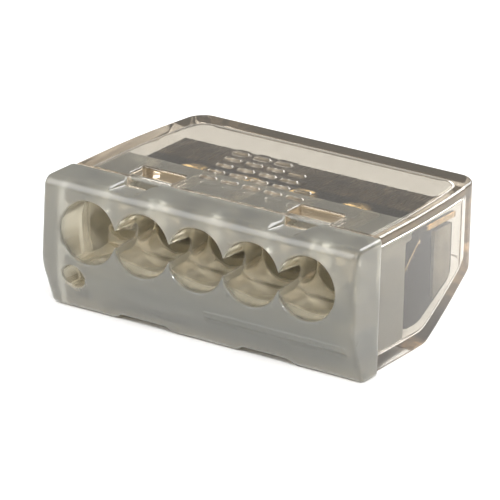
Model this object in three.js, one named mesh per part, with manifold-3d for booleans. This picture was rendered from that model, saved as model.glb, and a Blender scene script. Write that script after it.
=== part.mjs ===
// Five-port push-in wire connector: a clear rear housing closed by a grey entry cap, which holds
// a copper busbar and a one-piece stainless spring clip with five flexing fingers.
//
// Millimetres, +Z up. The ports face -Y and stand in a row along X. The origin is the centre of
// the bounding box at its base, so the connector rests on Z = 0. "Depth" is the distance behind
// the front face.

import * as THREE from 'three';
import { mergeVertices } from 'three/addons/utils/BufferGeometryUtils.js';
import Module from 'manifold-3d';

// ---------------------------------------------------------------- driving dimensions

const PORTS = 5;
const PITCH = 4.25;
const HEIGHT = 9.4;
const DEPTH = 17.3;
const HOUSING_WIDTH = 23.8;
const CAP_OVERHANG = 0.3;
const WALL = 0.85;
const FIT = 0.1;

// Entry cap
const FLANGE_DEPTH = 3.45;
const PLUG_END = 7.6;
const SHELF_END = 8.3;
const BEVEL_HEIGHT = 3.3;
const BEVEL_DEPTH = 1.4;
const TOP_ROUND = 0.8;
const FACE_LEAN = 0.25;
const CAP_CORNER = 0.6;
const PORT_HEIGHT = 6.12;
const MOUTH_RADIUS = 2.2;
const BORE_END_RADIUS = 2.14;
const BORE_END = 2.65;
const CONDUCTOR_RADIUS = 1.3;
const CONDUCTOR_START = 5.2;
const GUIDE_WALL = 0.65;
const PLUG_WALL = 0.8;
const POCKET_START = 4.6;
const LOWER_POCKET_START = 2.1;
const LOWER_POCKET_TOP = 3.25;
const PROBE_RADIUS = 0.85;
const PROBE_OFFSET = 1.25;
const PROBE_HEIGHT = 2.75;
const GAUGE_START = 0.6;
const GAUGE_LENGTH = 10.8;
const GAUGE_HEIGHTS = [2.05, 2.55];
const GAUGE_DEPTH = 0.12;
const GAUGE_GROOVE = 0.22;

// Latches and the gaps under the flange
const LATCH_OFFSET = 6.2;
const LATCH_WIDTH = 3.0;
const LATCH_FRONT = 4.3;
const LATCH_BACK = 5.5;
const LATCH_TOP = 9.1;
const WINDOW_MARGIN = 0.2;
const NOTCH_WIDTH = 2.8;
const NOTCH_FRONT = 1.9;
const NOTCH_DROP = 0.45;
const FOOT_GAP_OFFSET = 4.8;
const FOOT_GAP_WIDTH = 4.6;
const FOOT_GAP_TOP = 3.6;
const FOOT_GAP_HEIGHT = 0.48;

// Clear housing
const TAPER_START = 10.6;
const TAPER_SIDE = 0.6;
const HOUSING_CORNER = 0.8;
const CHAMFER_START = 10.0;
const CHAMFER_HEIGHT = 3.67;
const REAR_WALL = 1.0;
const REAR_ROUND = 0.45;

// Metal
const METAL_WIDTH = 20.9;
const BUSBAR_FRONT = 8.8;
const BUSBAR_BACK = 14.5;
const BUSBAR_THICKNESS = 0.5;
const BUSBAR_HEIGHT = 7.35;
const ARCH_WIDTH = 2.9;
const ARCH_RISE = 0.5;
const SHEET = 0.3;
const CLIP_FRONT = 8.45;
const CLIP_BACK = 14.0;
const CLIP_FLOOR = 1.35;
const CLIP_BEND = 10.2;
const CLIP_REAR_FLOOR = 3.4;
const RISER_TOP = 4.0;
const REAR_LIP_TOP = 7.1;
const HINGE_HEIGHT = 4.25;
const FINGER_WIDTH = 3.0;
const CHEEK_BACK = 11.6;
const CHEEK_DROP = 0.45;
const CHEEK_SLIT = 0.35;
const FINGER_BEND = [10.9, 6.65];
const FINGER_TIP = [11.5, 6.9];

const ROUND_STEPS = 32;
const CORNER_STEPS = 5;
const OVERCUT = 1.0;

// ---------------------------------------------------------------- worked-out places

const HALF_CAP = HOUSING_WIDTH / 2 + CAP_OVERHANG;
const HALF_HOUSING = HOUSING_WIDTH / 2;
const HALF_INSIDE = HALF_HOUSING - WALL;
const INSIDE_TOP = HEIGHT - WALL;
const INSIDE_FLOOR = WALL;
const HOUSING_FRONT = FLANGE_DEPTH + FIT / 2;
const portCentres = Array.from({ length: PORTS }, (_, i) => (i - (PORTS - 1) / 2) * PITCH);
const dividers = portCentres.slice(1).map((x) => x - PITCH / 2);

const atDepth = (depth) => depth - DEPTH / 2;

// ---------------------------------------------------------------- solids

const wasm = await Module();
wasm.setup();

function toSolid(geometry) {
  const bare = geometry.clone();
  bare.deleteAttribute('normal');
  bare.deleteAttribute('uv');
  const merged = mergeVertices(bare, 1e-4);
  const corners = Array.from(merged.index.array);
  const kept = [];
  for (let i = 0; i < corners.length; i += 3) {
    const [a, b, c] = corners.slice(i, i + 3);
    if (a !== b && b !== c && c !== a) {
      kept.push(a, b, c);
    }
  }
  const mesh = new wasm.Mesh({
    numProp: 3,
    vertProperties: new Float32Array(merged.attributes.position.array),
    triVerts: new Uint32Array(kept),
  });
  return new wasm.Manifold(mesh);
}

function toGeometry(solid) {
  const mesh = solid.getMesh();
  const geometry = new THREE.BufferGeometry();
  geometry.setAttribute('position', new THREE.BufferAttribute(mesh.vertProperties, 3));
  geometry.setIndex(new THREE.BufferAttribute(mesh.triVerts, 1));
  return geometry;
}

function extruded(points, length) {
  const shape = new THREE.Shape(points.map(([a, b]) => new THREE.Vector2(a, b)));
  return new THREE.ExtrudeGeometry(shape, { depth: length, bevelEnabled: false });
}

// Outline in (depth, z), swept along X between two values of x.
function prismX(points, x0, x1) {
  const basis = new THREE.Matrix4().makeBasis(
    new THREE.Vector3(0, 1, 0),
    new THREE.Vector3(0, 0, 1),
    new THREE.Vector3(1, 0, 0),
  );
  const geometry = extruded(points.map(([d, z]) => [atDepth(d), z]), x1 - x0);
  geometry.applyMatrix4(basis);
  geometry.translate(x0, 0, 0);
  return toSolid(geometry);
}

// Outline in (x, z), swept from one depth to another.
function prismY(points, depth0, depth1) {
  const basis = new THREE.Matrix4().makeBasis(
    new THREE.Vector3(1, 0, 0),
    new THREE.Vector3(0, 0, 1),
    new THREE.Vector3(0, -1, 0),
  );
  const geometry = extruded(points, depth1 - depth0);
  geometry.applyMatrix4(basis);
  geometry.translate(0, atDepth(depth1), 0);
  return toSolid(geometry);
}

// Outline in (x, depth), swept along Z.
function prismZ(points, z0, z1) {
  const geometry = extruded(points.map(([x, d]) => [x, atDepth(d)]), z1 - z0);
  geometry.translate(0, 0, z0);
  return toSolid(geometry);
}

function box(x0, x1, depth0, depth1, z0, z1) {
  const geometry = new THREE.BoxGeometry(x1 - x0, depth1 - depth0, z1 - z0);
  geometry.translate((x0 + x1) / 2, atDepth((depth0 + depth1) / 2), (z0 + z1) / 2);
  return toSolid(geometry);
}

// A turned solid about a line along Y: pairs of (radius, depth), front to back.
function turned(profile, x, z) {
  const points = profile.map(([radius, depth]) => new THREE.Vector2(radius, atDepth(depth)));
  const geometry = new THREE.LatheGeometry(points, ROUND_STEPS);
  geometry.translate(x, 0, z);
  return toSolid(geometry);
}

// Points of a round corner between two directions, about a centre.
function corner(centreA, centreB, radius, fromDegrees, toDegrees) {
  return Array.from({ length: CORNER_STEPS + 1 }, (_, i) => {
    const angle = THREE.MathUtils.degToRad(
      THREE.MathUtils.lerp(fromDegrees, toDegrees, i / CORNER_STEPS),
    );
    return [centreA + radius * Math.cos(angle), centreB + radius * Math.sin(angle)];
  });
}

// Closed outline of a bent sheet that follows a centre line.
function ribbon(line, thickness) {
  const path = line.map(([a, b]) => new THREE.Vector2(a, b));
  const normals = path.slice(1).map((point, i) => {
    const along = point.clone().sub(path[i]).normalize();
    return new THREE.Vector2(-along.y, along.x);
  });
  const offset = (i, side) => {
    const before = normals[Math.max(i - 1, 0)];
    const after = normals[Math.min(i, normals.length - 1)];
    const mitre = before.clone().add(after).normalize();
    const reach = (side * thickness) / 2 / mitre.dot(after);
    return [path[i].x + mitre.x * reach, path[i].y + mitre.y * reach];
  };
  const right = path.map((_, i) => offset(i, -1));
  const left = path.map((_, i) => offset(i, 1));
  return [...right, ...left.reverse()];
}

// ---------------------------------------------------------------- entry cap

const bevelDepthAt = (z) => BEVEL_DEPTH * (1 - z / BEVEL_HEIGHT);

function flangeBody() {
  const side = [
    [FLANGE_DEPTH, 0],
    [FLANGE_DEPTH, HEIGHT],
    ...corner(FACE_LEAN + TOP_ROUND, HEIGHT - TOP_ROUND, TOP_ROUND, 90, 180),
    [0, BEVEL_HEIGHT],
    [BEVEL_DEPTH, 0],
  ];
  const plan = [
    [HALF_CAP, FLANGE_DEPTH],
    [-HALF_CAP, FLANGE_DEPTH],
    ...corner(-HALF_CAP + CAP_CORNER, CAP_CORNER, CAP_CORNER, 180, 270),
    ...corner(HALF_CAP - CAP_CORNER, CAP_CORNER, CAP_CORNER, 270, 360),
  ];
  return prismX(side, -HALF_CAP, HALF_CAP).intersect(prismZ(plan, -OVERCUT, HEIGHT + OVERCUT));
}

// The plug is hollow, and its top wall runs on over the spring fingers as a shelf.
function plugBody() {
  const half = HALF_INSIDE - FIT;
  const floor = INSIDE_FLOOR + FIT;
  const top = INSIDE_TOP - FIT;
  const block = box(-half, half, FLANGE_DEPTH - FIT, PLUG_END, floor, top);
  const shelf = box(-half, half, PLUG_END - FIT, SHELF_END, top - PLUG_WALL, top);
  const pocket = box(
    -half + PLUG_WALL, half - PLUG_WALL, POCKET_START, PLUG_END + OVERCUT,
    floor + PLUG_WALL, top - PLUG_WALL,
  );
  return block.subtract(pocket).add(shelf);
}

// The hollow behind the bevel, below the ports, open to the rear.
function lowerPocket() {
  const half = HALF_INSIDE - FIT - PLUG_WALL;
  return box(
    -half, half, LOWER_POCKET_START, POCKET_START + FIT, INSIDE_FLOOR + FIT + PLUG_WALL,
    LOWER_POCKET_TOP,
  );
}

function conductorGuide(x) {
  const radius = CONDUCTOR_RADIUS + GUIDE_WALL;
  const profile = [[0, FLANGE_DEPTH], [radius, FLANGE_DEPTH], [radius, PLUG_END], [0, PLUG_END]];
  return turned(profile, x, PORT_HEIGHT);
}

function portBore(x) {
  const profile = [
    [0, -OVERCUT],
    [MOUTH_RADIUS, -OVERCUT],
    [BORE_END_RADIUS, BORE_END],
    [CONDUCTOR_RADIUS, CONDUCTOR_START],
    [CONDUCTOR_RADIUS, PLUG_END + OVERCUT],
    [0, PLUG_END + OVERCUT],
  ];
  return turned(profile, x, PORT_HEIGHT);
}

function probeBore() {
  const depth = LOWER_POCKET_START + FIT;
  const profile = [[0, -OVERCUT], [PROBE_RADIUS, -OVERCUT], [PROBE_RADIUS, depth], [0, depth]];
  return turned(profile, portCentres[0] - PROBE_OFFSET, PROBE_HEIGHT);
}

function latchLug(x) {
  const root = INSIDE_TOP - FIT - WALL / 2;
  const side = [
    [LATCH_FRONT, root],
    [LATCH_BACK, root],
    [LATCH_BACK, root + WALL],
    [LATCH_FRONT + FIT, LATCH_TOP],
    [LATCH_FRONT, LATCH_TOP],
  ];
  return prismX(side, x - LATCH_WIDTH / 2, x + LATCH_WIDTH / 2);
}

function latchNotch(x) {
  const half = NOTCH_WIDTH / 2;
  const plan = [
    [x - half, FLANGE_DEPTH + OVERCUT],
    [x - half * 0.8, NOTCH_FRONT],
    [x + half * 0.8, NOTCH_FRONT],
    [x + half, FLANGE_DEPTH + OVERCUT],
  ];
  return prismZ(plan, HEIGHT - NOTCH_DROP, HEIGHT + OVERCUT);
}

function footGap(x) {
  const outline = [
    [x - FOOT_GAP_WIDTH / 2, 0],
    [x + FOOT_GAP_WIDTH / 2, 0],
    [x + FOOT_GAP_TOP / 2, FOOT_GAP_HEIGHT],
    [x - FOOT_GAP_TOP / 2, FOOT_GAP_HEIGHT],
  ];
  const below = box(
    x - FOOT_GAP_WIDTH / 2, x + FOOT_GAP_WIDTH / 2, 0, FLANGE_DEPTH + FIT, -OVERCUT, FIT / 10,
  );
  return prismY(outline, 0, FLANGE_DEPTH + FIT).add(below);
}

function gaugeGroove(height) {
  const y = bevelDepthAt(height);
  const half = GAUGE_GROOVE / 2;
  const outline = [
    [y - OVERCUT, height - half],
    [y + GAUGE_DEPTH, height - half],
    [y + GAUGE_DEPTH, height + half],
    [y - OVERCUT, height + half],
  ];
  return prismX(outline, GAUGE_START, GAUGE_START + GAUGE_LENGTH);
}

function entryCap() {
  const added = [plugBody(), ...portCentres.map(conductorGuide)];
  const removed = [
    ...portCentres.map(portBore), probeBore(), lowerPocket(), ...GAUGE_HEIGHTS.map(gaugeGroove),
  ];
  for (const side of [-1, 1]) {
    added.push(latchLug(side * LATCH_OFFSET));
    removed.push(latchNotch(side * LATCH_OFFSET), footGap(side * FOOT_GAP_OFFSET));
  }
  const body = added.reduce((whole, piece) => whole.add(piece), flangeBody());
  return removed.reduce((whole, piece) => whole.subtract(piece), body);
}

// ---------------------------------------------------------------- clear housing

function housingPlan(inset, front, rear) {
  const half = HALF_HOUSING - inset;
  const radius = HOUSING_CORNER;
  const rearHalf = half - TAPER_SIDE;
  return [
    [half, front],
    [half, TAPER_START],
    ...corner(rearHalf - radius, rear - radius, radius, 0, 90),
    ...corner(-rearHalf + radius, rear - radius, radius, 90, 180),
    [-half, TAPER_START],
    [-half, front],
  ];
}

function housingOutside() {
  const side = [
    [HOUSING_FRONT, 0],
    [CHAMFER_START, 0],
    [DEPTH, CHAMFER_HEIGHT],
    ...corner(DEPTH - REAR_ROUND, HEIGHT - REAR_ROUND, REAR_ROUND, 0, 90),
    [HOUSING_FRONT, HEIGHT],
  ];
  const plan = prismZ(housingPlan(0, HOUSING_FRONT, DEPTH), -OVERCUT, HEIGHT + OVERCUT);
  return prismX(side, -HALF_HOUSING, HALF_HOUSING).intersect(plan);
}

function housingInside() {
  const rear = DEPTH - REAR_WALL;
  const slope = CHAMFER_HEIGHT / (DEPTH - CHAMFER_START);
  const rearFloor = INSIDE_FLOOR + slope * (rear - CHAMFER_START);
  const side = [
    [HOUSING_FRONT - OVERCUT, INSIDE_FLOOR],
    [CHAMFER_START, INSIDE_FLOOR],
    [rear, rearFloor],
    [rear, INSIDE_TOP],
    [HOUSING_FRONT - OVERCUT, INSIDE_TOP],
  ];
  const plan = prismZ(housingPlan(WALL, HOUSING_FRONT - OVERCUT, rear), 0, HEIGHT);
  return prismX(side, -HALF_INSIDE, HALF_INSIDE).intersect(plan);
}

function latchWindow(x) {
  const half = LATCH_WIDTH / 2 + WINDOW_MARGIN;
  return box(
    x - half, x + half, LATCH_FRONT - WINDOW_MARGIN, LATCH_BACK + WINDOW_MARGIN,
    INSIDE_TOP - WALL / 2, HEIGHT + OVERCUT,
  );
}

function clearHousing() {
  const windows = [-1, 1].map((side) => latchWindow(side * LATCH_OFFSET));
  return windows.reduce(
    (whole, piece) => whole.subtract(piece),
    housingOutside().subtract(housingInside()),
  );
}

// ---------------------------------------------------------------- metal

// A strip with one shallow arch pressed between each two wires, which keeps them apart.
function busbar() {
  const archSteps = 8;
  const centreLine = [[-METAL_WIDTH / 2, BUSBAR_HEIGHT]];
  for (const x of dividers) {
    for (let i = 0; i <= archSteps; i += 1) {
      const along = i / archSteps - 0.5;
      const rise = ARCH_RISE * Math.cos(along * Math.PI);
      centreLine.push([x + along * ARCH_WIDTH, BUSBAR_HEIGHT + rise]);
    }
  }
  centreLine.push([METAL_WIDTH / 2, BUSBAR_HEIGHT]);
  const top = centreLine.map(([x, z]) => [x, z + BUSBAR_THICKNESS]);
  return prismY([...centreLine, ...top.reverse()], BUSBAR_FRONT, BUSBAR_BACK);
}

// A side of the clip, folded up beside the outermost finger. The part in front of its slit is cut
// off just below the finger, and the part behind is as high as the rear lip.
function clipCheek(side) {
  const front = CLIP_FRONT - SHEET / 2;
  const slitBack = CHEEK_BACK + CHEEK_SLIT;
  const floorSlope = (CLIP_REAR_FLOOR - CLIP_FLOOR) / (CLIP_BACK - CLIP_BEND);
  const bottomAt = (depth) => (
    CLIP_FLOOR - SHEET / 2 + floorSlope * Math.max(depth - CLIP_BEND, 0)
  );
  const frontPlate = [
    [front, bottomAt(front)],
    [CLIP_BEND, bottomAt(CLIP_BEND)],
    [CHEEK_BACK, bottomAt(CHEEK_BACK)],
    [CHEEK_BACK, FINGER_BEND[1] - CHEEK_DROP],
    [FINGER_BEND[0], FINGER_BEND[1] - CHEEK_DROP],
    [CLIP_FRONT, HINGE_HEIGHT - CHEEK_DROP],
    [front, HINGE_HEIGHT - CHEEK_DROP],
  ];
  const rearPlate = [
    [slitBack, bottomAt(slitBack)],
    [CLIP_BACK, bottomAt(CLIP_BACK)],
    [CLIP_BACK, REAR_LIP_TOP],
    [slitBack, REAR_LIP_TOP],
  ];
  const outer = (side * METAL_WIDTH) / 2;
  const inner = outer - side * SHEET;
  const plates = [frontPlate, rearPlate].map((outline) => (
    prismX(outline, Math.min(inner, outer), Math.max(inner, outer))
  ));
  return plates[0].add(plates[1]);
}

// Floor, front riser, rear lip and cheeks of the spring clip, bent from one sheet.
function springClipBase() {
  const line = [
    [CLIP_FRONT, RISER_TOP],
    [CLIP_FRONT, CLIP_FLOOR],
    [CLIP_BEND, CLIP_FLOOR],
    [CLIP_BACK, CLIP_REAR_FLOOR],
    [CLIP_BACK, REAR_LIP_TOP],
  ];
  const sheet = prismX(ribbon(line, SHEET), -METAL_WIDTH / 2, METAL_WIDTH / 2);
  return sheet.add(clipCheek(-1)).add(clipCheek(1));
}

function springFinger(x) {
  const line = [[CLIP_FRONT, HINGE_HEIGHT], FINGER_BEND, FINGER_TIP];
  return prismX(ribbon(line, SHEET), x - FINGER_WIDTH / 2, x + FINGER_WIDTH / 2);
}

// ---------------------------------------------------------------- assembly

const materials = {
  greyPlastic: new THREE.MeshStandardMaterial({ color: 0x8f979b, roughness: 0.35 }),
  clearPlastic: new THREE.MeshStandardMaterial({
    color: 0xb7a98c, roughness: 0.08, transparent: true, opacity: 0.35,
  }),
  tinnedCopper: new THREE.MeshStandardMaterial({ color: 0x9c8a6a, roughness: 0.3, metalness: 1 }),
  springSteel: new THREE.MeshStandardMaterial({ color: 0x8c8a86, roughness: 0.22, metalness: 1 }),
};

const connector = new THREE.Group();

function addPart(name, solid, material) {
  const mesh = new THREE.Mesh(toGeometry(solid), material);
  mesh.name = name;
  connector.add(mesh);
}

addPart('entry_cap', entryCap(), materials.greyPlastic);
addPart('clear_housing', clearHousing(), materials.clearPlastic);
addPart('busbar', busbar(), materials.tinnedCopper);
addPart('spring_clip_base', springClipBase(), materials.springSteel);
portCentres.forEach((x, i) => {
  addPart(`spring_finger_${i + 1}`, springFinger(x), materials.springSteel);
});

export default connector;
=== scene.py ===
"""The looks of a five-port push-in wire connector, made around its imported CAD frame.

The two mouldings are built as distance fields, so that every edge has its moulded radius, and then
meshed. The metal inside is bent sheet. Lengths are in millimetres until a mesh is made, and
"depth" is the distance behind the front face, as in the CAD part.
"""

import math

import bpy
import numpy as np
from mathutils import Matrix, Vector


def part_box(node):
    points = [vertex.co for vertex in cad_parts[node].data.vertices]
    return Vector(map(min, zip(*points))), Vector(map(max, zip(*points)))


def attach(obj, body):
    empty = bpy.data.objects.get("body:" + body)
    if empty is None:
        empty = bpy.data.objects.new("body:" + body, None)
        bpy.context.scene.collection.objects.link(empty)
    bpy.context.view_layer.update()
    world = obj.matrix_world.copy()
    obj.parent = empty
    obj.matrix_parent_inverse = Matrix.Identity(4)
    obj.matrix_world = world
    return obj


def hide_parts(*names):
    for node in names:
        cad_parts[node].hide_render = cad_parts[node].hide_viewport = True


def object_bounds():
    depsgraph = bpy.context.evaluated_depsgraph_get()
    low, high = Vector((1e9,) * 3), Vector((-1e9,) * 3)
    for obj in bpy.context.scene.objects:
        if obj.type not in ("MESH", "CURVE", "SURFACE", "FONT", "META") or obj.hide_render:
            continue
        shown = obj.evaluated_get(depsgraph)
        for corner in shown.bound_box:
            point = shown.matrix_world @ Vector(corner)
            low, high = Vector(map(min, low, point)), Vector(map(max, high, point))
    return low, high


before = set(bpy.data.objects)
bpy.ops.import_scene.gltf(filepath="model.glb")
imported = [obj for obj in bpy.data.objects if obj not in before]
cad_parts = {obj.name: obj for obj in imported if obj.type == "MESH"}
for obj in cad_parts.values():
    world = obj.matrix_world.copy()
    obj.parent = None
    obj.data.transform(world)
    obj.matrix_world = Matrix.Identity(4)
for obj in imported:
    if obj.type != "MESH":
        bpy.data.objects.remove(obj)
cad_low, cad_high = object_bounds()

import openvdb
from mathutils import Matrix, Vector

MM = 0.001

# ---------------------------------------------------------------- sizes, from the frame

HEIGHT = (cad_high.z - cad_low.z) / MM
DEPTH = (cad_high.y - cad_low.y) / MM
FRONT = cad_low.y / MM
HALF_CAP = cad_high.x / MM
HALF_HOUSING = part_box("clear_housing")[1].x / MM
HOUSING_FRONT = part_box("clear_housing")[0].y / MM - FRONT
SHELF_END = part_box("entry_cap")[1].y / MM - FRONT
METAL_LOW, METAL_HIGH = (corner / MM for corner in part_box("busbar"))

# ---------------------------------------------------------------- sizes shared with the CAD part

PORTS = 5
PITCH = 4.25
WALL = 0.85
FIT = 0.1
FLANGE_DEPTH = HOUSING_FRONT - FIT / 2
PLUG_END = 7.6
BEVEL_HEIGHT = 3.3
BEVEL_DEPTH = 1.4
FACE_LEAN = 0.25
PORT_HEIGHT = 6.12
MOUTH_RADIUS = 2.2
BORE_END_RADIUS = 2.14
BORE_END = 2.65
CONDUCTOR_RADIUS = 1.3
CONDUCTOR_START = 5.2
GUIDE_WALL = 0.65
PLUG_WALL = 0.8
POCKET_START = 4.6
LOWER_POCKET_START = 2.1
LOWER_POCKET_TOP = 3.25
PROBE_RADIUS = 0.85
PROBE_OFFSET = 1.25
PROBE_HEIGHT = 2.75
GAUGE_START = 0.6
GAUGE_LENGTH = 10.8
LATCH_OFFSET = 6.2
LATCH_WIDTH = 3.0
LATCH_FRONT = 4.3
LATCH_BACK = 5.5
LATCH_TOP = 9.1
WINDOW_MARGIN = 0.2
NOTCH_WIDTH = 2.8
FOOT_GAP_OFFSET = 4.8
FOOT_GAP_WIDTH = 4.6
FOOT_GAP_TOP = 3.6
FOOT_GAP_HEIGHT = 0.48
TAPER_START = 10.6
TAPER_SIDE = 0.6
CHAMFER_START = 10.0
CHAMFER_HEIGHT = 3.67
REAR_WALL = 1.0
SHEET = 0.3
CLIP_FRONT = 8.45
CLIP_BACK = 14.0
CLIP_FLOOR = 1.35
CLIP_BEND = 10.2
CLIP_REAR_FLOOR = 3.4
RISER_TOP = 4.0
REAR_LIP_TOP = 7.1
HINGE_HEIGHT = 4.25
FINGER_WIDTH = 3.0
CHEEK_BACK = 11.6
CHEEK_DROP = 0.45
CHEEK_SLIT = 0.35
FINGER_BEND = (10.9, 6.65)
FINGER_TIP = (11.5, 6.9)
BUSBAR_THICKNESS = 0.5
ARCH_WIDTH = 2.9
ARCH_RISE = 0.5

# ---------------------------------------------------------------- sizes only here, or not as in the CAD part

NOTCH_FRONT = 2.5
NOTCH_DROP = 0.9
RAMP_WIDTH = 2.0
CORNER_RADIUS = 1.4
DASH_HEIGHT = 0.13
DASHES_IN_ROW = (5, 5, 4, 4, 3)
DASH_PITCH = 1.7
ROW_PITCH = 1.3
GAUGE_GROOVES = ((2.55, 0.14), (2.05, 0.2))

# ---------------------------------------------------------------- meshing, and the row of ports

ADAPTIVITY = {"cap": 0.02, "housing": 0.002}
STEP = 0.1
PORT_CENTRES = [(i - (PORTS - 1) / 2) * PITCH for i in range(PORTS)]
DIVIDERS = [x - PITCH / 2 for x in PORT_CENTRES[1:]]


# ---------------------------------------------------------------- camera and stage

def make_camera():
    """A long lens above the right front corner."""
    azimuth = math.radians(32.7)
    elevation = math.radians(20.6)
    roll = math.radians(1.45)
    distance = 0.2928
    target = Vector((0.00043, -0.0026, 0.0052))
    back = Vector((
        math.sin(azimuth) * math.cos(elevation),
        -math.cos(azimuth) * math.cos(elevation),
        math.sin(elevation),
    ))
    camera = bpy.data.objects.new("camera", bpy.data.cameras.new("camera"))
    bpy.context.scene.collection.objects.link(camera)
    camera.data.sensor_width = 36.0
    camera.data.lens = 320.0
    camera.data.clip_start = 0.01
    turn = back.to_track_quat("Z", "Y").to_matrix().to_4x4()
    camera.matrix_world = Matrix.Translation(target + back * distance) @ turn @ Matrix.Rotation(roll, 4, "Z")
    bpy.context.scene.camera = camera


def area_light(name, place, size, power):
    """A square softbox that faces the connector."""
    light = bpy.data.lights.new(name, "AREA")
    light.size = size
    light.energy = power
    lamp = bpy.data.objects.new(name, light)
    lamp.location = place
    aim = Vector((0.0, 0.0, 0.005)) - lamp.location
    lamp.rotation_euler = aim.to_track_quat("-Z", "Y").to_euler()
    bpy.context.scene.collection.objects.link(lamp)


def make_lights():
    """Two softboxes in front, one behind, and a studio that is brighter overhead."""
    area_light("key_softbox", (0.19, -0.235, 0.255), 0.06, 1.1)
    area_light("fill_softbox", (-0.24, -0.22, 0.22), 0.30, 1.0)
    area_light("rear_softbox", (0.05, 0.34, 0.22), 0.25, 1.2)
    world = bpy.data.worlds.new("studio")
    bpy.context.scene.world = world
    world.use_nodes = True
    nodes, links = world.node_tree.nodes, world.node_tree.links
    place = nodes.new("ShaderNodeTexCoord")
    split = nodes.new("ShaderNodeSeparateXYZ")
    height = nodes.new("ShaderNodeMapRange")
    height.interpolation_type = "SMOOTHSTEP"
    height.inputs["From Min"].default_value = 0.30
    height.inputs["From Max"].default_value = 0.85
    height.inputs["To Min"].default_value = 0.4
    height.inputs["To Max"].default_value = 0.9
    links.new(place.outputs["Generated"], split.inputs["Vector"])
    links.new(split.outputs["Z"], height.inputs["Value"])
    links.new(height.outputs["Result"], nodes["Background"].inputs["Strength"])
    nodes["Background"].inputs["Color"].default_value = (1.0, 0.99, 0.97, 1.0)


def make_floor():
    half = 1.5
    mesh = bpy.data.meshes.new("floor")
    corners = [(-half, -half, 0.0), (half, -half, 0.0), (half, half, 0.0), (-half, half, 0.0)]
    mesh.from_pydata(corners, [], [(0, 1, 2, 3)])
    floor = bpy.data.objects.new("floor", mesh)
    bpy.context.scene.collection.objects.link(floor)
    material, nodes, _ = new_material("pale_floor")
    shader = nodes["Principled BSDF"]
    shader.inputs["Base Color"].default_value = (0.84, 0.84, 0.84, 1.0)
    shader.inputs["Roughness"].default_value = 0.9
    mesh.materials.append(material)


# ---------------------------------------------------------------- materials

def new_material(name):
    material = bpy.data.materials.new(name)
    material.use_nodes = True
    return material, material.node_tree.nodes, material.node_tree.links


def add_noise(nodes, links, scale, detail, stretch=(1.0, 1.0, 1.0)):
    """Noise in object space, with features about 1/scale of a metre across."""
    coordinates = nodes.new("ShaderNodeTexCoord")
    mapping = nodes.new("ShaderNodeMapping")
    mapping.inputs["Scale"].default_value = stretch
    noise = nodes.new("ShaderNodeTexNoise")
    noise.inputs["Scale"].default_value = scale
    noise.inputs["Detail"].default_value = detail
    links.new(coordinates.outputs["Object"], mapping.inputs["Vector"])
    links.new(mapping.outputs["Vector"], noise.inputs["Vector"])
    return noise


def add_range(nodes, links, source, low, high):
    """Carries the middle of a 0 to 1 value to the range from low to high."""
    spread = nodes.new("ShaderNodeMapRange")
    spread.inputs["From Min"].default_value = 0.3
    spread.inputs["From Max"].default_value = 0.7
    spread.inputs["To Min"].default_value = low
    spread.inputs["To Max"].default_value = high
    links.new(source, spread.inputs["Value"])
    return spread.outputs["Result"]


def add_mix(nodes, links, factor, low, high):
    """A colour between low and high."""
    mix = nodes.new("ShaderNodeMix")
    mix.data_type = "RGBA"
    mix.inputs["A"].default_value = (*low, 1.0)
    mix.inputs["B"].default_value = (*high, 1.0)
    links.new(factor, mix.inputs["Factor"])
    return mix.outputs["Result"]


def add_bump(nodes, links, height, distance, strength):
    bump = nodes.new("ShaderNodeBump")
    bump.inputs["Distance"].default_value = distance
    bump.inputs["Strength"].default_value = strength
    links.new(height, bump.inputs["Height"])
    links.new(bump.outputs["Normal"], nodes["Principled BSDF"].inputs["Normal"])


def add_absorption(nodes, colour, density):
    """What the plastic takes out of the light on its way through."""
    volume = nodes.new("ShaderNodeVolumeAbsorption")
    volume.inputs["Color"].default_value = colour
    volume.inputs["Density"].default_value = density
    return volume.outputs["Volume"]


def add_mark(nodes, name):
    """The number that a mesh stores for each of its points under this name."""
    attribute = nodes.new("ShaderNodeAttribute")
    attribute.attribute_name = name
    return attribute.outputs["Fac"]


def add_patches(nodes, links, mark, source, colour):
    """A colour that turns into another where the mark is 1."""
    patches = nodes.new("ShaderNodeMix")
    patches.data_type = "RGBA"
    patches.inputs["B"].default_value = (*colour, 1.0)
    links.new(mark, patches.inputs["Factor"])
    links.new(source, patches.inputs["A"])
    return patches.outputs["Result"]


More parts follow.
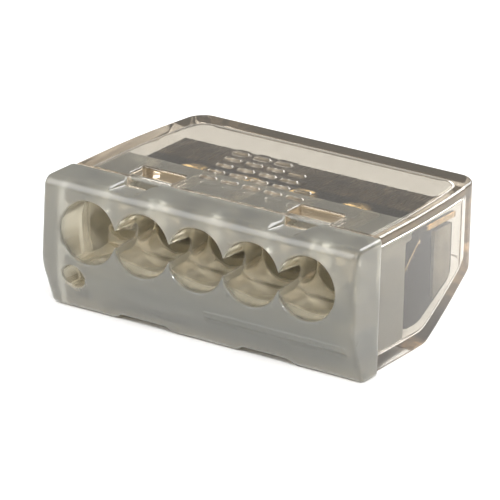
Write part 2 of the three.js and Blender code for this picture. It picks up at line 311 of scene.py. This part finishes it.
def grey_plastic():
    """Milky grey polycarbonate with a fine spark-eroded texture."""
    material, nodes, links = new_material("grey_polycarbonate")
    shader = nodes["Principled BSDF"]
    shader.inputs["IOR"].default_value = 1.5
    shader.inputs["Transmission Weight"].default_value = 0.8
    shader.inputs["Specular IOR Level"].default_value = 0.35
    shader.inputs["Coat Weight"].default_value = 0.6
    shader.inputs["Coat Roughness"].default_value = 0.05
    clouds = add_noise(nodes, links, 260.0, 4.0)
    milk = add_mix(nodes, links, clouds.outputs["Fac"], (0.425, 0.43, 0.385), (0.465, 0.47, 0.425))
    # Painted light: the amber inside the bores is much brighter than the milky plastic, standing in for
    # light that fills their shade; the amber tint itself is the plastic's own.
    amber_with_painted_fill = add_mix(nodes, links, clouds.outputs["Fac"], (0.84, 0.77, 0.59), (0.95, 0.88, 0.71))
    amber_and_painted_fill = add_mark(nodes, "amber_and_painted_fill")
    tint = nodes.new("ShaderNodeMix")
    tint.data_type = "RGBA"
    links.new(amber_and_painted_fill, tint.inputs["Factor"])
    links.new(milk, tint.inputs["A"])
    links.new(amber_with_painted_fill, tint.inputs["B"])
    # Painted shade: a dark colour laid over the plug's top and the flange's top edge.
    shaded = add_patches(nodes, links, add_mark(nodes, "painted_shade"), tint.outputs["Result"], (0.10, 0.12, 0.12))
    links.new(shaded, shader.inputs["Base Color"])
    gloss = nodes.new("ShaderNodeMapRange")
    gloss.inputs["To Min"].default_value = 0.32
    gloss.inputs["To Max"].default_value = 0.14
    links.new(amber_and_painted_fill, gloss.inputs["Value"])
    links.new(gloss.outputs["Result"], shader.inputs["Roughness"])
    grain = add_noise(nodes, links, 9000.0, 2.0)
    add_bump(nodes, links, grain.outputs["Fac"], 0.00001, 0.1)
    absorption = add_absorption(nodes, (0.72, 0.62, 0.47, 1.0), 150.0)
    links.new(absorption, nodes["Material Output"].inputs["Volume"])
    return material


def clear_plastic():
    """Clear polycarbonate with an amber cast, a faint haze inside it and slight flow marks."""
    material, nodes, links = new_material("clear_polycarbonate")
    shader = nodes["Principled BSDF"]
    shader.inputs["Base Color"].default_value = (0.80, 0.78, 0.735, 1.0)
    shader.inputs["IOR"].default_value = 1.585
    shader.inputs["Specular IOR Level"].default_value = 0.05
    shader.inputs["Transmission Weight"].default_value = 1.0
    flow = add_noise(nodes, links, 300.0, 3.0, (0.4, 1.0, 1.0))
    links.new(add_range(nodes, links, flow.outputs["Fac"], 0.01, 0.05), shader.inputs["Roughness"])
    add_bump(nodes, links, flow.outputs["Fac"], 0.00004, 0.12)
    absorption = add_absorption(nodes, (0.76, 0.60, 0.36, 1.0), 120.0)
    haze = nodes.new("ShaderNodeVolumeScatter")
    haze.inputs["Color"].default_value = (0.99, 0.86, 0.64, 1.0)
    haze.inputs["Density"].default_value = 30.0
    smoke = nodes.new("ShaderNodeAddShader")
    links.new(absorption, smoke.inputs[0])
    links.new(haze.outputs["Volume"], smoke.inputs[1])
    links.new(smoke.outputs["Shader"], nodes["Material Output"].inputs["Volume"])
    return material


def metal(name, dark, light, rough_low, rough_high, stretch, grazing):
    """Rolled strip: fine lines over slow stains, with a band of painted shade and painted gold glints where
    a piece has them.
    """
    material, nodes, links = new_material(name)
    shader = nodes["Principled BSDF"]
    shader.inputs["Metallic"].default_value = 1.0
    shader.inputs["Specular Tint"].default_value = (grazing, grazing, grazing, 1.0)
    stains = add_noise(nodes, links, 700.0, 4.0)
    tint = add_mix(nodes, links, add_range(nodes, links, stains.outputs["Fac"], 0.0, 1.0), dark, light)
    with_painted_shade_band = add_patches(nodes, links, add_mark(nodes, "painted_shade_band"), tint, (0.012, 0.010, 0.009))
    with_painted_glint = add_patches(nodes, links, add_mark(nodes, "painted_glint"), with_painted_shade_band, (0.92, 0.68, 0.34))
    links.new(with_painted_glint, shader.inputs["Base Color"])
    lines = add_noise(nodes, links, 6000.0, 2.0, stretch)
    links.new(
        add_range(nodes, links, lines.outputs["Fac"], rough_low, rough_high),
        shader.inputs["Roughness"],
    )
    add_bump(nodes, links, lines.outputs["Fac"], 0.00001, 0.3)
    return material


# ---------------------------------------------------------------- distance fields

class Samples:
    """A block of sample points. Its axes are x, depth and z, each broadcast along its own side."""

    def __init__(self, low, high):
        self.low = np.array(low) - 3 * STEP
        counts = np.ceil((np.array(high) + 3 * STEP - self.low) / STEP).astype(int) + 1
        axes = [
            (start + STEP * np.arange(count)).astype(np.float32)
            for start, count in zip(self.low, counts)
        ]
        self.x = axes[0][:, None, None]
        self.depth = axes[1][None, :, None]
        self.z = axes[2][None, None, :]


def both(a, b, radius):
    """Where a and b overlap, with a round outer edge."""
    corner = np.hypot(np.maximum(a + radius, 0), np.maximum(b + radius, 0))
    return np.minimum(-radius, np.maximum(a, b)) + corner


def either(a, b, radius):
    """a and b joined, with a round inner edge."""
    return -both(-a, -b, radius)


def without(a, b, radius):
    """a with b cut away."""
    return both(a, -b, radius)


def span(values, low, high):
    """Between two parallel planes."""
    return np.maximum(low - values, values - high)


def edge(u, v, start, end):
    """Left of the line from start to end, in the plane of u and v."""
    along_u, along_v = end[0] - start[0], end[1] - start[1]
    length = math.hypot(along_u, along_v)
    return ((u - start[0]) * along_v - (v - start[1]) * along_u) / length


def rounded_outline(u, v, corners):
    """A convex outline, anticlockwise. Each corner is (u, v, radius)."""
    starts = [corner[:2] for corner in corners]
    ends = starts[1:] + starts[:1]
    field = edge(u, v, starts[0], ends[0])
    for index in range(1, len(corners)):
        field = both(field, edge(u, v, starts[index], ends[index]), corners[index][2])
    return field


def bar(s, x_span, depth_span, z_span, radius):
    """A block with round edges."""
    field = both(span(s.x, *x_span), span(s.depth, *depth_span), radius)
    return both(field, span(s.z, *z_span), radius)


def around(s, x, z):
    """Distance from a line along the depth."""
    return np.hypot(s.x - x, s.z - z)


def read_between(block, points):
    """The values of a block at points that lie between its samples."""
    corner = np.clip(points.astype(int), 0, np.array(block.shape) - 2)
    part = points - corner
    total = np.zeros(len(points))
    for step in np.ndindex(2, 2, 2):
        weight = np.prod(np.where(step, part, 1 - part), axis=1)
        total += weight * block[tuple((corner + step).T)]
    return total


def moulded(name, field, samples, adaptivity):
    """The surface where a field is zero, as a closed mesh with the field's own normals."""
    band = 3.0
    grid = openvdb.FloatGrid(band)
    grid.copyFromArray(np.clip(field / STEP, -band, band).astype(np.float32))
    grid.gridClass = openvdb.GridClass.LEVEL_SET
    points, triangles, quads = grid.convertToPolygons(isovalue=0.0, adaptivity=adaptivity)
    places = points * STEP + samples.low
    places[:, 1] += FRONT
    faces = [tuple(face) for face in triangles[:, ::-1]] + [tuple(face) for face in quads[:, ::-1]]
    mesh = bpy.data.meshes.new(name)
    mesh.from_pydata((places * MM).tolist(), [], faces)
    mesh.shade_smooth()
    slopes = [read_between(slope, points) for slope in np.gradient(field)]
    mesh.normals_split_custom_set_from_vertices(np.stack(slopes, axis=1).tolist())
    piece = bpy.data.objects.new(name, mesh)
    bpy.context.scene.collection.objects.link(piece)
    return piece


def mark(piece, name, values):
    """Stores one number for each point of a piece, for its material to read."""
    attribute = piece.data.attributes.new(name, "FLOAT", "POINT")
    attribute.data.foreach_set("value", values.astype(np.float32))


def points_of(piece):
    """A piece's points as x, depth and z in millimetres."""
    flat = np.empty(3 * len(piece.data.vertices), np.float32)
    piece.data.vertices.foreach_get("co", flat)
    x, y, z = flat.reshape(-1, 3).T / MM
    return x, y - FRONT, z


# ---------------------------------------------------------------- entry cap

def bevel_depth_at(z):
    return BEVEL_DEPTH * (1 - z / BEVEL_HEIGHT)


def flange_field(s):
    side = rounded_outline(s.depth, s.z, [
        (BEVEL_DEPTH, 0.0, 0.0),
        (FLANGE_DEPTH, 0.0, 0.1),
        (FLANGE_DEPTH, HEIGHT, 0.1),
        (FACE_LEAN, HEIGHT, 0.75),
        (0.0, BEVEL_HEIGHT, 0.5),
    ])
    side = both(side, edge(s.depth, s.z, (0.0, BEVEL_HEIGHT), (BEVEL_DEPTH, 0.0)), 0.25)
    return both(side, np.abs(s.x) - HALF_CAP, 0.3)


def plug_field(s):
    half = HALF_HOUSING - WALL - FIT
    floor = WALL + FIT
    top = HEIGHT - WALL - FIT
    block = bar(s, (-half, half), (FLANGE_DEPTH - 0.5, PLUG_END), (floor, top), 0.18)
    pocket = bar(
        s, (-half + PLUG_WALL, half - PLUG_WALL), (POCKET_START, PLUG_END + 2.0),
        (floor + PLUG_WALL, top - PLUG_WALL), 0.25,
    )
    shelf = bar(s, (-half, half), (PLUG_END - 1.0, SHELF_END), (top - PLUG_WALL, top), 0.18)
    return np.minimum(without(block, pocket, 0.1), shelf)


def lower_pocket_field(s):
    half = HALF_HOUSING - WALL - FIT - PLUG_WALL
    depths = (LOWER_POCKET_START, POCKET_START + 2 * FIT)
    return bar(s, (-half, half), depths, (WALL + FIT + PLUG_WALL, LOWER_POCKET_TOP), 0.25)


def ports_field(s):
    """The space of the ports: wide bores that run into each other, then the conductor guides."""
    radius = np.interp(
        s.depth,
        [-1.0, BORE_END, CONDUCTOR_START],
        [MOUTH_RADIUS, BORE_END_RADIUS, CONDUCTOR_RADIUS],
    ).astype(np.float32)
    nearest = np.full((1, 1, 1), np.inf, np.float32)
    for x in PORT_CENTRES:
        nearest = np.minimum(nearest, around(s, x, PORT_HEIGHT))
    return nearest - radius


def latch_lug_field(s, x):
    root = HEIGHT - WALL - FIT - 0.3
    side = rounded_outline(s.depth, s.z, [
        (LATCH_FRONT, root, 0.0),
        (LATCH_BACK, root, 0.02),
        (LATCH_BACK, root + 0.5, 0.1),
        (LATCH_FRONT, LATCH_TOP, 0.08),
    ])
    return both(side, np.abs(s.x - x) - LATCH_WIDTH / 2, 0.1)


def latch_ramp_field(s, x):
    """A shallow ramp in the cap's top that leads a screwdriver to the latch."""
    floor = HEIGHT - 0.08 - 0.09 * s.depth
    return both(np.abs(s.x - x) - RAMP_WIDTH / 2, floor - s.z, 0.03)


def latch_notch_field(s, x):
    """The flared pocket where the ramp meets the housing."""
    flare = (NOTCH_WIDTH - RAMP_WIDTH) / 2 / (FLANGE_DEPTH - NOTCH_FRONT)
    across = np.abs(s.x - x) - RAMP_WIDTH / 2 - flare * (s.depth - NOTCH_FRONT)
    return both(both(across, NOTCH_FRONT - s.depth, 0.08), HEIGHT - NOTCH_DROP - s.z, 0.1)


def foot_gap_field(s, x):
    slope = (FOOT_GAP_WIDTH - FOOT_GAP_TOP) / 2 / FOOT_GAP_HEIGHT
    across = (np.abs(s.x - x) - FOOT_GAP_WIDTH / 2 + slope * s.z) / math.hypot(1, slope)
    return both(across, s.z - FOOT_GAP_HEIGHT, 0.1)


def gauge_field(s, height, radius):
    groove = np.hypot(s.depth - bevel_depth_at(height), s.z - height) - radius
    return both(groove, span(s.x, GAUGE_START, GAUGE_START + GAUGE_LENGTH), 0.05)


def cap_amber_and_painted_fill(x, depth, z):
    """How amber the milky plastic looks: most inside its bores, where the amber is also brightened as
    painted light that fills their shade, a little at its ends, and somewhat towards the bottom of the face.
    """
    bore = np.full_like(x, np.inf)
    for centre in PORT_CENTRES:
        bore = np.minimum(bore, np.hypot(x - centre, z - PORT_HEIGHT) - MOUTH_RADIUS)
    probe = np.hypot(x - PORT_CENTRES[0] + PROBE_OFFSET, z - PROBE_HEIGHT) - PROBE_RADIUS
    inside = (np.minimum(bore, probe) < 0.15) * np.clip((depth - 0.1) / 0.8, 0, 1)
    ends = np.clip((np.abs(x) - HALF_CAP + 1.4) / 1.2, 0, 1)
    foot = np.clip(1.0 - z, 0, 1)
    return np.maximum(inside, np.maximum(0.07 * ends, 0.25 * foot))


def entry_cap():
    s = Samples((-HALF_CAP, 0.0, 0.0), (HALF_CAP, SHELF_END, HEIGHT))
    field = either(flange_field(s), plug_field(s), 0.1)
    for x in PORT_CENTRES:
        guide = around(s, x, PORT_HEIGHT) - CONDUCTOR_RADIUS - GUIDE_WALL
        field = either(field, both(guide, span(s.depth, FLANGE_DEPTH, PLUG_END), 0.1), 0.15)
    for side in (-1, 1):
        field = either(field, latch_lug_field(s, side * LATCH_OFFSET), 0.05)
        field = without(field, latch_notch_field(s, side * LATCH_OFFSET), 0.12)
        field = without(field, foot_gap_field(s, side * FOOT_GAP_OFFSET), 0.12)
        field = without(field, latch_ramp_field(s, side * LATCH_OFFSET), 0.03)
    field = without(field, lower_pocket_field(s), 0.1)
    field = without(field, ports_field(s), 0.1)
    probe = around(s, PORT_CENTRES[0] - PROBE_OFFSET, PROBE_HEIGHT) - PROBE_RADIUS
    field = without(field, both(probe, s.depth - LOWER_POCKET_START - FIT, 0.1), 0.1)
    for height, radius in GAUGE_GROOVES:
        field = without(field, gauge_field(s, height, radius), 0.04)
    piece = moulded("entry_cap_moulding", field, s, ADAPTIVITY["cap"])
    x, depth, z = points_of(piece)
    mark(piece, "amber_and_painted_fill", cap_amber_and_painted_fill(x, depth, z))
    # Painted shade: the plug's top behind the flange is darkened in colour, as if the dark inside showed
    # through, and the flange's top edge a little.
    plug_top = HEIGHT - WALL - FIT
    plug_top_painted_shade = 0.65 * ((depth > HOUSING_FRONT) & (z > plug_top - 0.1))
    flange_top_painted_shade = 0.3 * np.clip((z - HEIGHT + 0.3) / 0.25, 0, 1)
    mark(piece, "painted_shade", np.maximum(plug_top_painted_shade, flange_top_painted_shade))
    piece.data.materials.append(grey_plastic())
    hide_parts("entry_cap")
    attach(piece, "root")


# ---------------------------------------------------------------- clear housing

def housing_shell(s, inset, front, rear, floor, top, radius):
    """The housing's outside, or its cavity when inset by the wall."""
    half = HALF_HOUSING - inset
    slope = CHAMFER_HEIGHT / (DEPTH - CHAMFER_START)
    side = rounded_outline(s.depth, s.z, [
        (front, floor, 0.0),
        (CHAMFER_START, floor, radius),
        (rear, floor + slope * (rear - CHAMFER_START), radius),
        (rear, top, radius),
        (front, top, 0.08),
    ])
    taper = edge(np.abs(s.x), s.depth, (half, TAPER_START), (half - TAPER_SIDE, DEPTH - CORNER_RADIUS))
    plan = both(both(np.abs(s.x) - half, taper, 0.4), s.depth - rear, CORNER_RADIUS)
    return both(side, plan, radius)


def raised_dashes(s):
    """Plain raised dashes on the top, in five rows."""
    pads = np.full((1, 1, 1), np.inf, np.float32)
    for row, count in enumerate(DASHES_IN_ROW):
        depth = 6.4 + ROW_PITCH * row
        for index in range(count):
            x = -3.2 + DASH_PITCH * index - 0.2 * row
            outline = both(np.abs(s.x - x) - 0.6, np.abs(s.depth - depth) - 0.22, 0.2)
            pads = np.minimum(pads, both(outline, np.abs(s.z - HEIGHT) - DASH_HEIGHT, 0.08))
    return pads


def clear_housing():
    s = Samples((-HALF_HOUSING, HOUSING_FRONT, 0.0), (HALF_HOUSING, DEPTH, HEIGHT + 0.2))
    outside = housing_shell(s, 0.0, HOUSING_FRONT, DEPTH, 0.0, HEIGHT, 0.22)
    inside = housing_shell(
        s, WALL, HOUSING_FRONT - 2.0, DEPTH - REAR_WALL, WALL, HEIGHT - WALL, 0.3,
    )
    field = without(outside, inside, 0.12)
    for side in (-1, 1):
        half = LATCH_WIDTH / 2 + WINDOW_MARGIN
        x = side * LATCH_OFFSET
        window = bar(
            s, (x - half, x + half), (LATCH_FRONT - WINDOW_MARGIN, LATCH_BACK + WINDOW_MARGIN),
            (HEIGHT - 2 * WALL, HEIGHT + 1.0), 0.12,
        )
        field = without(field, window, 0.08)
    field = either(field, raised_dashes(s), 0.06)
    piece = moulded("clear_housing_moulding", field, s, ADAPTIVITY["housing"])
    piece.data.materials.append(clear_plastic())
    piece.visible_shadow = False
    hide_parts("clear_housing")
    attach(piece, "root")


# ---------------------------------------------------------------- metal

def sheet_metal(name, centre, thickness, face_material, edge_material):
    """A closed sheet about a grid of points, with its cut edges in their own material."""
    rows, columns = centre.shape[:2]
    along = np.gradient(centre, axis=0)
    across = np.gradient(centre, axis=1)
    normal = np.cross(along, across)
    normal /= np.linalg.norm(normal, axis=2, keepdims=True)
    upper = (centre + normal * thickness / 2).reshape(-1, 3)
    lower = (centre - normal * thickness / 2).reshape(-1, 3)
    count = rows * columns
    points = np.vstack([upper, lower])
    points[:, 1] += FRONT
    faces = []
    for r in range(rows - 1):
        for c in range(columns - 1):
            a, b = r * columns + c, r * columns + c + 1
            d, e = a + columns, b + columns
            faces.append((a, d, e, b))
            faces.append((a + count, b + count, e + count, d + count))
    rim = list(range(columns))
    rim += [r * columns + columns - 1 for r in range(1, rows)]
    rim += [(rows - 1) * columns + c for c in range(columns - 2, -1, -1)]
    rim += [r * columns for r in range(rows - 2, 0, -1)]
    sheet_faces = len(faces)
    for a, b in zip(rim, rim[1:] + rim[:1]):
        faces.append((a, b, b + count, a + count))
    mesh = bpy.data.meshes.new(name)
    mesh.from_pydata((points * MM).tolist(), [], faces)
    mesh.materials.append(face_material)
    mesh.materials.append(edge_material)
    mesh.polygons.foreach_set("material_index", [int(i >= sheet_faces) for i in range(len(faces))])
    mesh.shade_smooth()
    piece = bpy.data.objects.new(name, mesh)
    bpy.context.scene.collection.objects.link(piece)
    bevel = piece.modifiers.new("broken edges", "BEVEL")
    bevel.width = 0.035 * MM
    bevel.segments = 2
    bevel.limit_method = "ANGLE"
    bevel.angle_limit = math.radians(50)
    bevel.material = 1
    piece.modifiers.new("weighted normals", "WEIGHTED_NORMAL")
    return piece


def bent_line(line, radius, steps=6):
    """A polyline in (depth, z) with each inner corner rounded."""
    points = [np.array(p, float) for p in line]
    path = [points[0]]
    for before, here, after in zip(points, points[1:], points[2:]):
        toward_before = (before - here) / np.linalg.norm(before - here)
        toward_after = (after - here) / np.linalg.norm(after - here)
        start = here + toward_before * radius
        end = here + toward_after * radius
        for step in range(steps + 1):
            t = step / steps
            path.append((1 - t) ** 2 * start + 2 * t * (1 - t) * here + t ** 2 * end)
    path.append(points[-1])
    return np.array(path)


def strip_grid(path, half_widths, x, columns):
    """Points across a strip that follows a path of (depth, z)."""
    across = np.linspace(-1.0, 1.0, columns)
    grid = np.empty((len(path), columns, 3))
    grid[:, :, 0] = x + np.outer(half_widths, across)
    grid[:, :, 1] = path[:, 0][:, None]
    grid[:, :, 2] = path[:, 1][:, None]
    return grid


def busbar(face_material, edge_material):
    """A copper strip, arched between the wires at its front edge and flat at its rear."""
    front, rear = METAL_LOW.y - FRONT, METAL_HIGH.y - FRONT
    half_sheet = BUSBAR_THICKNESS / 2
    depths = np.linspace(front, rear, 24)
    xs = np.linspace(METAL_LOW.x, METAL_HIGH.x, 161)
    arch = np.zeros_like(xs)
    for x in DIVIDERS:
        along = np.clip((xs - x) / ARCH_WIDTH, -0.5, 0.5)
        arch += np.cos(along * math.pi) ** 1.5
    fade = np.clip(1.0 - (depths - front) / 2.2, 0.0, 1.0) ** 1.5
    grid = np.empty((len(depths), len(xs), 3))
    grid[:, :, 0] = xs[None, :]
    grid[:, :, 1] = depths[:, None]
    grid[:, :, 2] = METAL_LOW.z + half_sheet + ARCH_RISE * np.outer(fade, arch)
    piece = sheet_metal("busbar_strip", grid, BUSBAR_THICKNESS * 0.8, face_material, edge_material)
    _, depth, z = points_of(piece)
    # Painted shade: a near-black band over the strip's front, with a thin unshaded line behind it as a
    # painted highlight, and lighter shade further back.
    mark(piece, "painted_shade_band", np.interp(depth, [10.9, 11.1, 11.4, 11.6], [1.0, 0.0, 0.0, 0.3]))
    # Painted glints: bright gold colour on the crests of the arches.
    mark(piece, "painted_glint", np.clip((z - METAL_LOW.z - BUSBAR_THICKNESS) / 0.12, 0, 1))
    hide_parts("busbar")
    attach(piece, "root")


def spring_clip_base(face_material, edge_material):
    line = [
        (CLIP_FRONT, RISER_TOP),
        (CLIP_FRONT, CLIP_FLOOR),
        (CLIP_BEND, CLIP_FLOOR),
        (CLIP_BACK, CLIP_REAR_FLOOR),
        (CLIP_BACK, REAR_LIP_TOP),
    ]
    path = bent_line(line, 0.5)
    half = METAL_HIGH.x - 0.02
    grid = strip_grid(path, np.full(len(path), half), 0.0, 41)
    piece = sheet_metal("spring_clip_strip", grid, SHEET, face_material, edge_material)
    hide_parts("spring_clip_base")
    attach(piece, "root")


def clip_cheek(name, side, start, end, drop, material):
    """A side of the clip, folded up from one depth to another and cut off below the finger's slope."""
    depths = np.linspace(start, end, 15)
    slope = (CLIP_REAR_FLOOR - CLIP_FLOOR) / (CLIP_BACK - CLIP_BEND)
    bottoms = CLIP_FLOOR + slope * np.maximum(depths - CLIP_BEND, 0.0)
    tops = np.interp(depths, [CLIP_FRONT, FINGER_BEND[0]], [HINGE_HEIGHT, FINGER_BEND[1]]) - drop
    grid = np.empty((len(depths), 15, 3))
    grid[:, :, 0] = side * (METAL_HIGH.x - SHEET / 2)
    grid[:, :, 1] = depths[:, None]
    grid[:, :, 2] = bottoms[:, None] + np.outer(tops - bottoms, np.linspace(0.0, 1.0, 15))
    piece = sheet_metal(name, grid, SHEET, material, material)
    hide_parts("spring_clip_base")
    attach(piece, "root")


def spring_finger(number, x, face_material, edge_material):
    path = bent_line([(CLIP_FRONT, HINGE_HEIGHT), FINGER_BEND, FINGER_TIP], 0.3)
    path = np.vstack([np.linspace(path[0], path[1], 9)[:-1], path[1:]])
    reach = np.linspace(0.0, 1.0, len(path))
    half_widths = FINGER_WIDTH / 2 * (1.0 - 0.22 * np.clip((reach - 0.7) / 0.3, 0, 1) ** 2)
    grid = strip_grid(path, half_widths, x, 13)
    piece = sheet_metal(f"finger_leaf_{number}", grid, SHEET, face_material, edge_material)
    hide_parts(f"spring_finger_{number}")
    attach(piece, f"finger_{number}")


def make_metal():
    tinned = metal(
        "tinned_copper", (0.12, 0.09, 0.06), (0.34, 0.27, 0.185), 0.18, 0.32, (1.0, 0.1, 1.0), 0.3,
    )
    copper_edge = metal(
        "copper_edge", (0.86, 0.55, 0.22), (0.95, 0.70, 0.36), 0.15, 0.3, (0.2, 1.0, 1.0), 1.0,
    )
    # Painted shade and light: the spring steel is near-black as painted shade, and the clip's rear cheeks
    # get a lighter copy of it as painted light.
    steel_painted_dark = metal(
        "spring_steel", (0.004, 0.0035, 0.003), (0.02, 0.017, 0.014), 0.12, 0.25, (0.1, 1.0, 1.0), 0.15,
    )
    steel_painted_light = metal(
        "steel_painted_light", (0.22, 0.20, 0.16), (0.42, 0.38, 0.30), 0.3, 0.45, (0.1, 1.0, 1.0), 0.3,
    )
    # Painted highlight: the fingers' cut edges are bright gold to stand in for glints.
    steel_edge_painted_glint = metal(
        "steel_edge_painted_glint", (0.85, 0.62, 0.34), (0.95, 0.78, 0.52), 0.15, 0.3, (0.2, 1.0, 1.0), 1.0,
    )
    busbar(tinned, copper_edge)
    spring_clip_base(steel_painted_dark, steel_painted_dark)
    for side, name in ((-1, "left"), (1, "right")):
        clip_cheek(f"clip_cheek_{name}", side, CLIP_FRONT, CHEEK_BACK, CHEEK_DROP, steel_painted_dark)
        drop = FINGER_BEND[1] - REAR_LIP_TOP
        clip_cheek(f"clip_rear_{name}", side, CHEEK_BACK + CHEEK_SLIT, CLIP_BACK, drop, steel_painted_light)
    for index, x in enumerate(PORT_CENTRES):
        spring_finger(index + 1, x, steel_painted_dark, steel_edge_painted_glint)


make_camera()
make_lights()
make_floor()
entry_cap()
clear_housing()
make_metal()

bpy.context.scene.view_settings.view_transform = "Standard"
bpy.context.scene.cycles.max_bounces = 24
bpy.context.scene.cycles.transmission_bounces = 20
bpy.context.scene.cycles.glossy_bounces = 8
